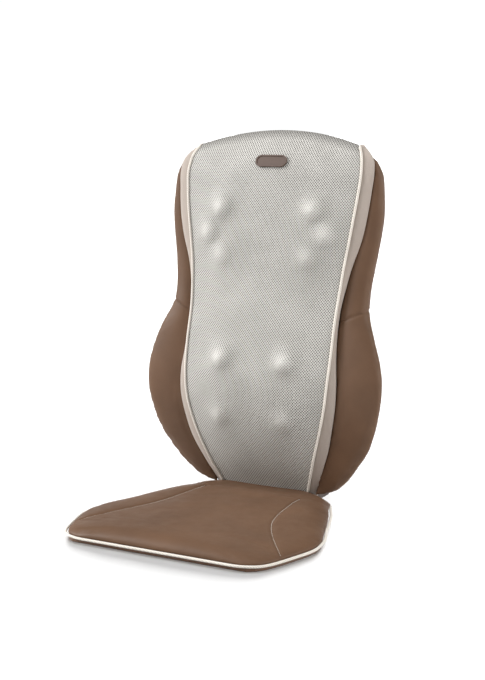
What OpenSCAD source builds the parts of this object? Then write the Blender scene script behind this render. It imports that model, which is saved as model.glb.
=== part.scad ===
// Massage seat cushion: a backrest that holds two kneading units, and a seat pad that folds.
// +X is the sitter's left, +Y points to the rear, +Z is up. The origin is at the middle of the base.

/* [Backrest] */
// Lean of the guide rails and of the upper backrest, in degrees
lean = 9.5; // [9.3:0.1:9.6]
// Wall of the plastic mouldings
wall = 3; // [2:0.5:3]
// Thickness of the mesh cover
mesh_t = 2; // [1:0.5:2]
// Thickness of the foam behind the mesh
liner_t = 5; // [3:0.5:5]
// Height of a bump where a massage node presses the mesh
bump_h = 8; // [4:1:10]
// Radius of the cream piping
piping_r = 2.2; // [1.6:0.1:2.4]

/* [Seat pad] */
// Thickness of the seat pad at its middle
seat_h = 30; // [24:1:32]
// Thickness of the board under the seat foam
seat_board = 6; // [4:0.5:6]
// Radius of the fold's rod
hinge_r = 3; // [2.5:0.1:3.2]

/* [Massage units] */
// Radius of a massage node
node_r = 13; // [11:0.5:13]
// Orbit radius of the lower nodes
lower_orbit = 48; // [44:1:48]
// Orbit radius of the upper nodes
upper_orbit = 38; // [34:1:38]
// Distance of a lower head from the middle
lower_head_x = 64; // [63:0.5:65]
// Distance of an upper head from the middle
upper_head_x = 85; // [80:1:88]
// Radius of the guide rails
rail_r = 4; // [3.5:0.1:4.2]
// Teeth of a worm wheel
wheel_teeth = 40; // [40:1:40]
// Teeth of a travel pinion
pinion_teeth = 16; // [16:1:16]

/* [Hidden] */
$fn = 64;
// Gap between neighbouring soft pieces, and the running clearance of a shaft in its bore.
gap = 0.4;
running = 0.06;

// Outline stations of the backrest, each [height, value].
PANEL_HW = [[0, 78], [25, 84], [65, 98], [105, 111], [145, 123], [185, 132], [225, 136], [265, 138],
            [345, 139], [385, 142], [425, 146], [465, 152], [505, 158], [545, 163], [585, 165],
            [610, 160], [625, 152]];
TRIM_HW = [[0, 92], [25, 102], [65, 117], [105, 133], [145, 143], [185, 150], [225, 151], [265, 147],
           [305, 144], [345, 144], [385, 149], [425, 156], [465, 167], [505, 176], [545, 183],
           [585, 186], [600, 183], [612, 174], [625, 158]];
FACE_Y = [[0, 143], [25, 134], [65, 116], [105, 103], [145, 95], [185, 91], [225, 93], [265, 101],
          [305, 111], [345, 122], [385, 131], [425, 138], [465, 143], [505, 147], [545, 153],
          [585, 161], [610, 172], [625, 183], [649, 199]];
CROWN = [[0, 1], [65, 9], [145, 15], [265, 16], [385, 15], [505, 13], [585, 9], [625, 5], [649, 2]];
WING_HW = [[18, 106], [22, 122], [30, 141], [45, 159], [65, 176], [85, 191], [105, 204], [145, 220],
           [185, 229], [225, 231], [265, 224], [305, 209], [345, 192], [365, 190], [385, 191],
           [425, 196], [465, 202], [505, 206], [545, 203], [585, 194], [604, 187]];
WING_Y = [[18, 138], [30, 136], [65, 125], [105, 117], [145, 112], [185, 111], [225, 115], [265, 121],
          [305, 130], [345, 148], [365, 154], [385, 157], [425, 163], [465, 167], [505, 171],
          [545, 173], [585, 176], [604, 181]];
// Half width of the seat pad along its length, each [y, half width].
SEAT_HW = [[-238, 150], [-234, 162], [-226, 174], [-212, 184], [-188, 194], [-160, 203], [-130, 212],
           [-104, 216], [-80, 213], [-59, 206], [-20, 190], [20, 177], [60, 162], [100, 143]];

PANEL_FOOT = 14;      // lowest edge of the mesh
CORNER_Z = 625;       // height of the panel's top corners
ARCH = 24;            // rise of the top edge between them
FRAME_IN = 4;         // how far the frame reaches under the mesh
FRAME_FRONT = 8.5;    // from the face line back to the frame
FRAME_BACK = 24;      // from the face line back to the frame's rear
KNEE_Z = 430;         // height where the housing starts to lean
REAR_Y = 214;         // rear face below the knee
SHELL_TOP = 600;      // where the leaning rear face ends
SEAM_Z = 329;         // inner end of the seam between the wings
SEAM_RISE = 20;       // how much higher the seam's outer end is
SEAT_REAR = 100;      // rear edge of the seat pad
SEAT_FRONT = -238;    // front edge of the seat pad
FOLD = [0, 113, 13];  // a point on the fold's axis
RAIL_FOOT_Y = 64;     // where the rails' plane meets the floor
RAIL_X = 34;
RAIL_Y = 60;          // depth of the rails in the leaning frame
RAIL_SPAN = [70, 620];
LOWER_Z = 216;        // rest places of the two units along the rails
UPPER_Z = 487;
LOWER_NODE_Y = 19;    // depth of the node centres in the leaning frame
UPPER_NODE_Y = 22;
GEAR_MODULE = 1.25;
RACK_MODULE = 1.5;
WORM_R = 6.25;
SCREW_AT = [[103, 60], [140.5, 225], [151, 560]];   // x and height of the housing screws
// Upper half widths of the front frame and of the rear housing, each [height, half width].
FRAME_TOP = [[505, 173], [545, 180], [585, 180], [600, 172], [610, 158], [619, 140]];
HOUSING_TOP = [[485, 166], [505, 167], [545, 163], [585, 153], [605, 144], [617, 126]];
// Top of the opening in the front frame, as points seen from the front.
FRAME_OPENING_TOP = [[145, 540], [145, 585], [125, 606], [0, 620], [-125, 606], [-145, 585], [-145, 540]];

// Smooth curve through a list of stations.
function seg(z, t, i = 0) = (i >= len(t) - 2 || z < t[i + 1][0]) ? i : seg(z, t, i + 1);
function tangent(t, i) =
    i <= 0 ? (t[1][1] - t[0][1]) / (t[1][0] - t[0][0])
    : i >= len(t) - 1 ? (t[i][1] - t[i - 1][1]) / (t[i][0] - t[i - 1][0])
    : (t[i + 1][1] - t[i - 1][1]) / (t[i + 1][0] - t[i - 1][0]);
function smooth(z, t) =
    let (i = seg(z, t), h = t[i + 1][0] - t[i][0], s = (z - t[i][0]) / h)
    (2 * s^3 - 3 * s^2 + 1) * t[i][1] + (s^3 - 2 * s^2 + s) * tangent(t, i) * h
    + (-2 * s^3 + 3 * s^2) * t[i + 1][1] + (s^3 - s^2) * tangent(t, i + 1) * h;
function clamped(v, low, high) = max(low, min(high, v));

function panel_hw(z) = smooth(clamped(z, 0, CORNER_Z), PANEL_HW);
function trim_hw(z) = smooth(clamped(z, 0, CORNER_Z), TRIM_HW);
function face_y(z) = smooth(clamped(z, 0, CORNER_Z + ARCH), FACE_Y);
// Depth of the panel's front along its middle line.
function middle_y(z) = face_y(z) - smooth(z, CROWN);

// Surfaces made of rows of points.
// A sheet between two grids of the same size.
module sheet_solid(front, back) {
    n = len(front);
    m = len(front[0]);
    function at(side, i, j) = side * n * m + i * m + j;
    grid = [for (i = [0:n - 2], j = [0:m - 2]) each [
        [at(0, i, j), at(0, i + 1, j), at(0, i + 1, j + 1)],
        [at(0, i, j), at(0, i + 1, j + 1), at(0, i, j + 1)],
        [at(1, i, j), at(1, i + 1, j + 1), at(1, i + 1, j)],
        [at(1, i, j), at(1, i, j + 1), at(1, i + 1, j + 1)]]];
    ends = [for (j = [0:m - 2]) each [
        [at(0, 0, j), at(0, 0, j + 1), at(1, 0, j + 1)], [at(0, 0, j), at(1, 0, j + 1), at(1, 0, j)],
        [at(0, n - 1, j), at(1, n - 1, j + 1), at(0, n - 1, j + 1)],
        [at(0, n - 1, j), at(1, n - 1, j), at(1, n - 1, j + 1)]]];
    sides = [for (i = [0:n - 2]) each [
        [at(0, i, 0), at(1, i + 1, 0), at(0, i + 1, 0)], [at(0, i, 0), at(1, i, 0), at(1, i + 1, 0)],
        [at(0, i, m - 1), at(0, i + 1, m - 1), at(1, i + 1, m - 1)],
        [at(0, i, m - 1), at(1, i + 1, m - 1), at(1, i, m - 1)]]];
    polyhedron(points = [for (row = concat(front, back)) each row],
               faces = concat(grid, ends, sides), convexity = 6);
}

// A closed solid through rings with the same number of points.
module loft(rings) {
    n = len(rings);
    m = len(rings[0]);
    polyhedron(points = [for (ring = rings) each ring],
               faces = concat([[for (j = [m - 1:-1:0]) j]], [[for (j = [0:m - 1]) (n - 1) * m + j]],
                   [for (i = [0:n - 2], j = [0:m - 1]) let (k = (j + 1) % m) each [
                       [i * m + j, i * m + k, (i + 1) * m + k],
                       [i * m + j, (i + 1) * m + k, (i + 1) * m + j]]]),
               convexity = 6);
}

// A tube of radius r along a path, with 8 sides.
module tube_along(path, r) {
    n = len(path);
    loft([for (i = [0:n - 1])
        let (d = path[min(i + 1, n - 1)] - path[max(i - 1, 0)], along = d / norm(d),
             side = cross(along, [0, 1, 0.3]), u = side / norm(side), v = cross(along, u))
        [for (k = [0:7]) path[i] + r * (cos(45 * k) * u + sin(45 * k) * v)]]);
}

module leaning() translate([0, RAIL_FOOT_Y, 0]) rotate([-lean, 0, 0]) children();
// A cylinder that runs along +Y from depth y0 to y1.
module along_y(r, y0, y1) translate([0, y0, 0]) rotate([-90, 0, 0]) cylinder(r = r, h = y1 - y0);
// An outline seen from the front, pulled in by inset: it follows the trim, then the stations in
// top, each [height, half width], and ends in an arch.
module outline(top, rise, inset, foot) {
    heights = [foot, 25, 65, 105, 145, 185, 225, 265, 305, 345, 385, 425, 455];
    right = concat([for (z = heights) [trim_hw(z) - 1 - inset, z]], [for (t = top) [t[1] - inset, t[0]]]);
    last = right[len(right) - 1];
    arch = [for (i = [1:7]) let (u = cos(180 * i / 8)) [last[0] * u, last[1] + (rise - inset) * (1 - u^2)]];
    left = [for (i = [len(right) - 1:-1:0]) [-right[i][0], right[i][1]]];
    polygon(concat(right, arch, left));
}
// The space between two depths behind the face line, seen from the side.
module behind_face(front, back) {
    heights = [for (i = [0:26]) i * 25];
    polygon(concat([for (z = heights) [face_y(z) + front, z]],
                   [for (i = [len(heights) - 1:-1:0]) [face_y(heights[i]) + back, heights[i]]]));
}
// The housing's side profile: straight up to the knee, then leaning with the rails.
module side_profile(inset, front) {
    rise = SHELL_TOP - KNEE_Z;
    heights = [for (i = [0:25]) i == 0 ? inset : i * 25];
    top_y = REAR_Y + rise * tan(lean);
    polygon(concat([for (z = heights) [face_y(z) + front, z]],
                   [[face_y(641) + front, 641 - inset], [top_y - 9 - inset, 641 - inset],
                    [top_y - 2 - inset, 627 - inset], [top_y - inset, SHELL_TOP],
                    [REAR_Y - inset, KNEE_Z], [REAR_Y - inset, 5], [REAR_Y - 5 - inset, inset]]));
}
module wide() rotate([90, 0, 90]) linear_extrude(500, center = true) children();
module deep() rotate([90, 0, 0]) linear_extrude(700, center = true) children();

// ---------------------------------------------------------------- backrest: covers and pads
// Where the nodes press the mesh at rest, each [x, height].
BUMPS = [[62, 264], [62, 158], [88, 516], [113, 476], [82, 440]];
function bump(x, z) =
    bump_h * max([for (b = BUMPS) exp(-((abs(x) - b[0])^2 + (z - b[1])^2) / (2 * 17^2))]);
// Grid of the panel: u across, v up, pushed back by depth; raised is 1 to add the bumps.
function panel_point(u, v, depth, raised) =
    let (edge_z = PANEL_FOOT + v * (CORNER_Z - PANEL_FOOT), z = edge_z + v^4 * ARCH * (1 - u^2),
         x = u * panel_hw(edge_z))
    [x, face_y(z) - smooth(z, CROWN) * (1 - u^2) - raised * bump(x, z) * (1 - u^8) + depth, z];
function panel_grid(depth, raised, nu, nv) =
    [for (i = [0:nv]) [for (j = [0:nu]) panel_point(2 * j / nu - 1, i / nv, depth, raised)]];

module mesh_panel() color("silver")
    sheet_solid(panel_grid(0, 1, 24, 30), panel_grid(mesh_t, 0, 24, 30));
module foam_liner() color("gainsboro")
    sheet_solid(panel_grid(mesh_t + 2 * gap, 0, 16, 30), panel_grid(mesh_t + liner_t, 0, 16, 30));

module panel_piping(side) color("ivory")
    tube_along([for (i = [0:30]) let (z = PANEL_FOOT + i * (CORNER_Z - PANEL_FOOT) / 30)
        [side * (panel_hw(z) + gap + piping_r), face_y(z) - 0.5, z]], piping_r);

module trim_band(side) color("tan") {
    heights = [for (i = [0:30]) PANEL_FOOT + i * (622 - PANEL_FOOT) / 30];
    rings = [for (z = heights)
        let (a = panel_hw(z) + gap, b = max(trim_hw(z) - gap, a + 2.5), y = face_y(z) + piping_r + 0.6)
        [[a, y, z], [a, y + 5.5, z], [b, y + 5.5, z], [b, y, z], [(a + b) / 2, y - 0.6, z]]];
    mirror([side < 0 ? 1 : 0, 0, 0]) loft(rings);
}

// A wing pad between two seams. share runs from 0 at the inner seam to 1 at the outer rim.
function wing_ring(z) =
    let (rise = SEAM_RISE * max(0, 1 - abs(z - SEAM_Z) / 140), inner = trim_hw(z) + gap,
         outer_z = z + rise, outer = smooth(outer_z, WING_HW), rim = smooth(outer_z, WING_Y),
         width = outer - inner, front = rim - face_y(z) + 1, rear = 30 - 22 * clamped(60 - z, 0, 40) / 40)
    concat([for (i = [0:6]) let (t = 15 * i, share = sin(t)^0.85)
               [inner + width * share, rim - front * (i == 0 ? 0.7 : cos(t)^0.7), z + rise * share]],
           [for (i = [1:5]) let (t = 90 - 18 * i, share = sin(t)^0.8)
               [inner + width * share, rim + rear * cos(t)^0.8, z + rise * share]]);
module wing(side, z0, z1, steps) color("sienna")
    mirror([side < 0 ? 1 : 0, 0, 0])
        loft([for (i = [0:steps]) let (ring = wing_ring(z0 + i * (z1 - z0) / steps))
            [for (j = [len(ring) - 1:-1:0]) ring[j]]]);
module lumbar_wing(side) wing(side, 18, SEAM_Z - gap, 20);
module shoulder_wing(side) wing(side, SEAM_Z + gap, 600, 16);

module badge() color("rosybrown") {
    tilt = atan((middle_y(600) - middle_y(594)) / 6);
    translate([0, middle_y(597) - gap, 597]) rotate([-tilt, 0, 0]) rotate([90, 0, 0]) difference() {
        linear_extrude(3) hull() for (s = [-1, 1]) translate([s * 19, 0]) circle(r = 11);
        translate([0, 0, 2]) linear_extrude(3) hull() for (s = [-1, 1]) translate([s * 19, 0]) circle(r = 8.5);
    }
}

// ---------------------------------------------------------------- backrest: mouldings
module front_frame() color("dimgray") {
    difference() {
        intersection() {
            deep() difference() {
                outline(FRAME_TOP, 22, 0, 0);
                polygon(concat(
                    [for (z = [20:40:500]) [panel_hw(z) - FRAME_IN, z]], FRAME_OPENING_TOP,
                    [for (z = [500:-40:20]) [-panel_hw(z) + FRAME_IN, z]]));
            }
            wide() behind_face(FRAME_FRONT, FRAME_BACK);
        }
        for (at = SCREW_AT, s = [-1, 1]) translate([s * at[0], 0, at[1]]) along_y(1.75, 120, 250);
    }
    for (at = SCREW_AT, s = [-1, 1]) translate([s * at[0], 0, at[1]]) difference() {
        along_y(4.5, face_y(at[1]) + FRAME_BACK - 1, rear_inside(at[1] - 4.5) - 0.3);
        along_y(1.75, 100, 250);
    }
}
function rear_inside(z) = REAR_Y - wall + max(0, z - KNEE_Z) * tan(lean);

module rear_housing() color("#5b4536") difference() {
    intersection() {
        deep() outline(HOUSING_TOP, 20, 0, 0);
        wide() side_profile(0, FRAME_BACK + gap);
    }
    intersection() {
        deep() outline(HOUSING_TOP, 20, wall, wall);
        wide() side_profile(wall, 0);
    }
    for (at = SCREW_AT, s = [-1, 1]) translate([s * at[0], 0, at[1]]) {
        along_y(1.9, 190, 260);
        along_y(3.6, rear_inside(at[1]) + 1, 260);
    }
    translate([90, 0, 40]) along_y(5.1, 190, 260);
    for (x = [-100, 100]) translate([x, 0, 10]) along_y(2.2, 120, 240);
}

module housing_screws() color("darkgray")
    for (at = SCREW_AT, s = [-1, 1]) translate([s * at[0], 0, at[1]]) {
        along_y(1.7, rear_inside(at[1]) - 20, rear_inside(at[1]) + 2);
        along_y(3.2, rear_inside(at[1]) + 1.05, rear_inside(at[1]) + 2.4);
    }

module strap(z) color("#4a3a30") translate([-138, REAR_Y + 0.1, z - 19]) cube([276, 1.6, 38]);
module strap_buckles() color("#2b2b2b") for (z = [150, 380]) translate([0, REAR_Y + 1.9, z]) {
    difference() {
        translate([-24, 0, -23]) cube([48, 5, 46]);
        for (s = [-1, 1]) translate([s * 17 - 4, -1, -19]) cube([8, 7, 38]);
    }
}

module power_inlet() color("#1c1c1c") translate([90, 0, 40]) difference() {
    union() {
        along_y(5, 196, REAR_Y + 1);
        along_y(7, REAR_Y + 0.05, REAR_Y + 1.5);
    }
    along_y(2.8, 202, REAR_Y + 5);
}

module control_board() color("darkgreen") {
    translate([-45, 203, 85]) cube([90, 1.6, 60]);
    for (x = [-30, -8, 16]) translate([x, 197, 100]) cube([12, 6, 9]);
    for (x = [-34, 34]) translate([x, 0, 130]) along_y(3, 191, 203);
}

// ---------------------------------------------------------------- seat pad
function seat_hw(y) = smooth(y, SEAT_HW);
// Height of the pad's top: a low crown that rolls down to the piping.
function seat_top(u, v) =
    let (edge = (1 - abs(u)^5) * (1 - (2 * v - 1)^10), low = 15)
    low + (seat_h - low) * edge^0.5 * (0.85 + 0.15 * (1 - u^2));
SEAT_ROWS = [0, 0.012, 0.04, 0.09, 0.16, 0.25, 0.35, 0.46, 0.58, 0.7, 0.81, 0.9, 0.96, 1];
function seat_grid(bottom, depth = 0) =
    [for (v = SEAT_ROWS) let (y = SEAT_FRONT + v * (SEAT_REAR - SEAT_FRONT))
        [for (j = [0:20]) let (u = sin(90 * (j / 10 - 1)))
            [u * (seat_hw(y) - 2), y, bottom > 0 ? bottom : seat_top(u, v) - depth]]];
module seat_cover() color("sienna") sheet_solid(seat_grid(0, 2), seat_grid(0));
module seat_foam() color("khaki") sheet_solid(seat_grid(seat_board + gap), seat_grid(0, 2 + gap));
module seat_base() color("#3f2f26") linear_extrude(seat_board) polygon(concat(
    [for (p = SEAT_HW) [p[1] - 4, max(p[0], SEAT_FRONT + 3)]],
    [for (i = [len(SEAT_HW) - 1:-1:0]) [4 - SEAT_HW[i][1], max(SEAT_HW[i][0], SEAT_FRONT + 3)]]));
module seat_piping() color("ivory") {
    ys = [98, 60, 20, -20, -59, -80, -104, -130, -160, -188, -208, -224, -233];
    z = seat_board + gap + piping_r;
    right = [for (y = ys) [seat_hw(y) + piping_r, y, z]];
    front = [for (i = [0:8]) [151 * (1 - i / 4), SEAT_FRONT - piping_r, z]];
    left = [for (i = [len(ys) - 1:-1:0]) [-right[i][0], right[i][1], z]];
    tube_along_flat(concat(right, front, left), piping_r);
}
// A tube of radius r along a level path.
module tube_along_flat(path, r) {
    n = len(path);
    loft([for (i = [0:n - 1])
        let (d = path[min(i + 1, n - 1)] - path[max(i - 1, 0)], u = cross([0, 0, 1], d) / norm(d))
        [for (k = [0:7]) path[i] + r * (cos(45 * k) * u + [0, 0, sin(45 * k)])]]);
}

HINGE_SLEEVES = [-60, 60];
module hinge_sleeves() color("#3f2f26") for (x = HINGE_SLEEVES) difference() {
    union() {
        translate([x - 20, FOLD[1], FOLD[2]]) rotate([0, 90, 0]) cylinder(r = hinge_r + 3, h = 40);
        translate([x - 20, SEAT_REAR, 1]) cube([40, FOLD[1] - SEAT_REAR, FOLD[2] - 2]);
    }
    translate([x - 30, FOLD[1], FOLD[2]]) rotate([0, 90, 0]) cylinder(r = hinge_r + running, h = 60);
}
module hinge_rod() color("silver") translate([-94, FOLD[1], FOLD[2]]) rotate([0, 90, 0])
    cylinder(r = hinge_r, h = 188);
module hinge_brackets() color("gray") for (s = [-1, 1]) difference() {
    translate([s * 88 - 3, 0, 0]) union() {
        translate([0, FOLD[1], FOLD[2]]) rotate([0, 90, 0]) cylinder(r = 6.5, h = 6);
        translate([0, FOLD[1] - 6.5, 2]) cube([6, 13, FOLD[2] - 2]);
        translate([0, FOLD[1], 2]) cube([6, face_y(12) + FRAME_FRONT - 0.1 - FOLD[1], 10]);
    }
    translate([s * 88 - 10, FOLD[1], FOLD[2]]) rotate([0, 90, 0]) cylinder(r = hinge_r, h = 20);
}

// ---------------------------------------------------------------- rails and rack
module guide_rail(side) color("silver") leaning()
    translate([side * RAIL_X, RAIL_Y, RAIL_SPAN[0]]) cylinder(r = rail_r, h = RAIL_SPAN[1] - RAIL_SPAN[0]);
module rail_bracket(z, arm) color("gray") leaning() difference() {
    union() {
        translate([-50, RAIL_Y - 8, z]) cube([100, 21, 12]);
        for (s = [-1, 1]) translate([s * 46 - 4, RAIL_Y, z]) cube([8, arm, 12]);
    }
    for (s = [-1, 1]) translate([s * RAIL_X, RAIL_Y, z - 1]) cylinder(r = rail_r, h = 14);
}
module lower_rail_bracket() rail_bracket(RAIL_SPAN[0], 70);
module upper_rail_bracket() rail_bracket(RAIL_SPAN[1] - 12, 12);

// One tooth of a gear, pointing along +x, with its foot on the root circle.
module gear_tooth(root, tip, half_foot, half_tip)
    polygon([[root - 0.6, -half_foot], [tip, -half_tip], [tip, half_tip], [root - 0.6, half_foot]]);
module gear(teeth, root, tip, half_foot, half_tip, turn) {
    circle(r = root);
    for (i = [0:teeth - 1]) rotate(turn + 360 * i / teeth) gear_tooth(root, tip, half_foot, half_tip);
}
PINION_R = RACK_MODULE * pinion_teeth / 2;
RACK_PITCH = PI * RACK_MODULE;
module rack() color("gray") leaning() translate([0, 67.5, 0]) rotate([-90, 0, 0]) mirror([0, 1, 0])
    linear_extrude(5.5) {
        translate([PINION_R + 1.9, RAIL_SPAN[0] + 12]) square([8, RAIL_SPAN[1] - RAIL_SPAN[0] - 24]);
        for (i = [0:103]) translate([PINION_R + 1.9, LOWER_Z + 46 + RACK_PITCH * (i - 34.5)])
            polygon([[0.3, -1.35], [-3.2, -0.75], [-3.2, 0.75], [0.3, 1.35]]);
    }

// ---------------------------------------------------------------- a massage unit
// Everything below is drawn in the leaning frame, with z measured from the heads' centres.
module unit(z) leaning() translate([0, 0, z]) children();
module carriage_frame(head_x) color("dimgray") {
    difference() {
        union() {
            translate([-head_x - 16, 35, -22]) cube([2 * head_x + 32, 4, 44]);
            translate([-44, 35, -64]) cube([88, 4, 124]);
            for (s = [-1, 1], z = [[36, 20], [-62, 12]]) translate([s * RAIL_X - 7, 37, z[0]])
                cube([14, 29.5, z[1]]);
        }
        for (s = [-1, 1]) {
            translate([s * head_x, 0, 0]) along_y(5 + running, 30, 45);
            translate([s * RAIL_X, RAIL_Y, -70]) cylinder(r = rail_r + 2, h = 140);
        }
        translate([-27, 30, -48.5]) cube([54, 15, 34.5]);
        translate([0, 0, 46]) along_y(4, 30, 45);
    }
}
module rail_bushes() color("goldenrod") for (s = [-1, 1], z = [[36, 20], [-62, 12]])
    translate([s * RAIL_X, RAIL_Y, z[0]]) difference() {
        cylinder(r = rail_r + 2, h = z[1]);
        translate([0, 0, -1]) cylinder(r = rail_r + running, h = z[1] + 2);
    }
module massage_motor() color("silver") translate([0, 48, -25 - WORM_R]) rotate([0, 90, 0]) difference() {
    union() {
        translate([0, 0, -22]) cylinder(r = 15.5, h = 44);
        translate([0, 0, -26]) cylinder(r = 6, h = 52);
    }
    translate([0, 0, -30]) cylinder(r = 3 + running, h = 60);
}
// A worm's outline turned along its axis; hand is 1 for right-handed.
module worm(hand) {
    lead = PI * GEAR_MODULE;
    loft([for (i = [0:30]) let (x = 24 * i / 30 - 12, turn = hand * 360 * x / lead)
        [for (k = [11:-1:0]) let (a = 30 * k, wave = cos(a - turn),
             r = WORM_R - 0.1 + 1.05 * clamped(1.7 * wave, -1, 1))
            [x, -r * sin(a), r * cos(a)]]]);
}
module worm_shaft(head_x) color("lightgray") translate([0, 48, -25 - WORM_R]) {
    rotate([0, 90, 0]) cylinder(r = 3, h = 2 * head_x + 34, center = true);
    for (s = [-1, 1]) translate([s * head_x, 0, 0]) worm(s);
}
module worm_wheel(x) color("ivory") translate([x, 0, 0]) difference() {
    translate([0, 50.5, 0]) rotate([90, 0, 0]) linear_extrude(5)
        gear(wheel_teeth, 23.4, 25.8, 1.05, 0.5, -90 + 180 / wheel_teeth);
    along_y(4, 40, 60);
}
module rotor(x, orbit, angles) color("whitesmoke") translate([x, 0, 0]) {
    along_y(12, 26, 31);
    along_y(5, 30, 45.5);
    along_y(4, 45, 54);
    for (a = angles) rotate([0, -a, 0]) translate([0, 26, -7]) cube([orbit, 5, 14]);
    for (a = angles) rotate([0, -a, 0]) translate([orbit, 0, 0]) along_y(9, 26, 31);
}
module node_caps(x, orbit, angles, depth) color("pink")
    for (a = angles) translate([x, 0, 0]) rotate([0, -a, 0]) translate([orbit, 0, 0]) rotate([-90, 0, 0])
        rotate_extrude() intersection() {
            translate([0, depth]) circle(r = node_r);
            square([node_r + 1, 25.95]);
        }
module travel_motor() color("silver") translate([0, 0, 46]) {
    along_y(13, 39.05, 62);
    along_y(3.5, 61, 73);
}
// The pinion of a unit at place z is turned as if it had rolled up the rack from the lower unit.
module pinion(z) color("ivory") translate([0, 0, 46]) difference() {
    translate([0, 71.5, 0]) rotate([90, 0, 0]) linear_extrude(4)
        gear(pinion_teeth, 10.1, 13.2, 1.35, 0.6, (LOWER_Z - z) / PINION_R * 180 / PI);
    along_y(3.5 + running, 60, 80);
}

UPPER_ANGLES = [90, 0, -90];
LOWER_ANGLES = [90, -90];
function mirrored(angles) = [for (a = angles) 180 - a];

mesh_panel();
foam_liner();
panel_piping(1);  // left_panel_piping
panel_piping(-1);  // right_panel_piping
trim_band(1);  // left_trim_band
trim_band(-1);  // right_trim_band
shoulder_wing(1);  // left_shoulder_wing
shoulder_wing(-1);  // right_shoulder_wing
lumbar_wing(1);  // left_lumbar_wing
lumbar_wing(-1);  // right_lumbar_wing
badge();
front_frame();
rear_housing();
housing_screws();
strap(380);  // upper_strap
strap(150);  // lower_strap
strap_buckles();
power_inlet();
control_board();
seat_cover();
seat_foam();
seat_base();
seat_piping();
hinge_sleeves();
hinge_rod();
hinge_brackets();
guide_rail(1);  // left_guide_rail
guide_rail(-1);  // right_guide_rail
upper_rail_bracket();
lower_rail_bracket();
rack();
unit(UPPER_Z) carriage_frame(upper_head_x);  // upper_carriage_frame
unit(UPPER_Z) rail_bushes();  // upper_rail_bushes
unit(UPPER_Z) massage_motor();  // upper_massage_motor
unit(UPPER_Z) worm_shaft(upper_head_x);  // upper_worm_shaft
unit(UPPER_Z) worm_wheel(upper_head_x);  // upper_left_worm_wheel
unit(UPPER_Z) worm_wheel(-upper_head_x);  // upper_right_worm_wheel
unit(UPPER_Z) rotor(upper_head_x, upper_orbit, UPPER_ANGLES);  // upper_left_rotor
unit(UPPER_Z) rotor(-upper_head_x, upper_orbit, mirrored(UPPER_ANGLES));  // upper_right_rotor
unit(UPPER_Z) node_caps(upper_head_x, upper_orbit, UPPER_ANGLES, UPPER_NODE_Y);  // upper_left_nodes
unit(UPPER_Z) node_caps(-upper_head_x, upper_orbit, mirrored(UPPER_ANGLES), UPPER_NODE_Y);  // upper_right_nodes
unit(UPPER_Z) travel_motor();  // upper_travel_motor
unit(UPPER_Z) pinion(UPPER_Z);  // upper_pinion
unit(LOWER_Z) carriage_frame(lower_head_x);  // lower_carriage_frame
unit(LOWER_Z) rail_bushes();  // lower_rail_bushes
unit(LOWER_Z) massage_motor();  // lower_massage_motor
unit(LOWER_Z) worm_shaft(lower_head_x);  // lower_worm_shaft
unit(LOWER_Z) worm_wheel(lower_head_x);  // lower_left_worm_wheel
unit(LOWER_Z) worm_wheel(-lower_head_x);  // lower_right_worm_wheel
unit(LOWER_Z) rotor(lower_head_x, lower_orbit, LOWER_ANGLES);  // lower_left_rotor
unit(LOWER_Z) rotor(-lower_head_x, lower_orbit, mirrored(LOWER_ANGLES));  // lower_right_rotor
unit(LOWER_Z) node_caps(lower_head_x, lower_orbit, LOWER_ANGLES, LOWER_NODE_Y);  // lower_left_nodes
unit(LOWER_Z) node_caps(-lower_head_x, lower_orbit, mirrored(LOWER_ANGLES), LOWER_NODE_Y);  // lower_right_nodes
unit(LOWER_Z) travel_motor();  // lower_travel_motor
unit(LOWER_Z) pinion(LOWER_Z);  // lower_pinion
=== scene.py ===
"""Looks of the massage seat cushion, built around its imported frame. Everything is in metres."""
import math

import bmesh
import bpy
import numpy as np
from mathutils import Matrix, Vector


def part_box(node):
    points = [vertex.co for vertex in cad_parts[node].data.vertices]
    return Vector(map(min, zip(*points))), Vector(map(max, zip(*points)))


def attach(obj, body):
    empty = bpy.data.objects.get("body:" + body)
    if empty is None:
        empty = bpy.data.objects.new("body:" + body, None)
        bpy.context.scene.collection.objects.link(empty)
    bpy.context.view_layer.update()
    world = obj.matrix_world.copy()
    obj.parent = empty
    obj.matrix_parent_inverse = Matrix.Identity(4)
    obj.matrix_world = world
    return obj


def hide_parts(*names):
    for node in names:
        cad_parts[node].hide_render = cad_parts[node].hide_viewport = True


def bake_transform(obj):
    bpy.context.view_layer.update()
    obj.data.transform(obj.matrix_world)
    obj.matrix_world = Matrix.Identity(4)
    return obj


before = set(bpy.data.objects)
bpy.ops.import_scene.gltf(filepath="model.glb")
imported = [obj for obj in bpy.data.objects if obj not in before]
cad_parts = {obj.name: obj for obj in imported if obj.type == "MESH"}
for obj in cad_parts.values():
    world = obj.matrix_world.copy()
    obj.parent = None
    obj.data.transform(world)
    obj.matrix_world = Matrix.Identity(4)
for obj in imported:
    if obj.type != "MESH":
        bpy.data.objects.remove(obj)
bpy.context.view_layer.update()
scene = bpy.context.scene

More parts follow.
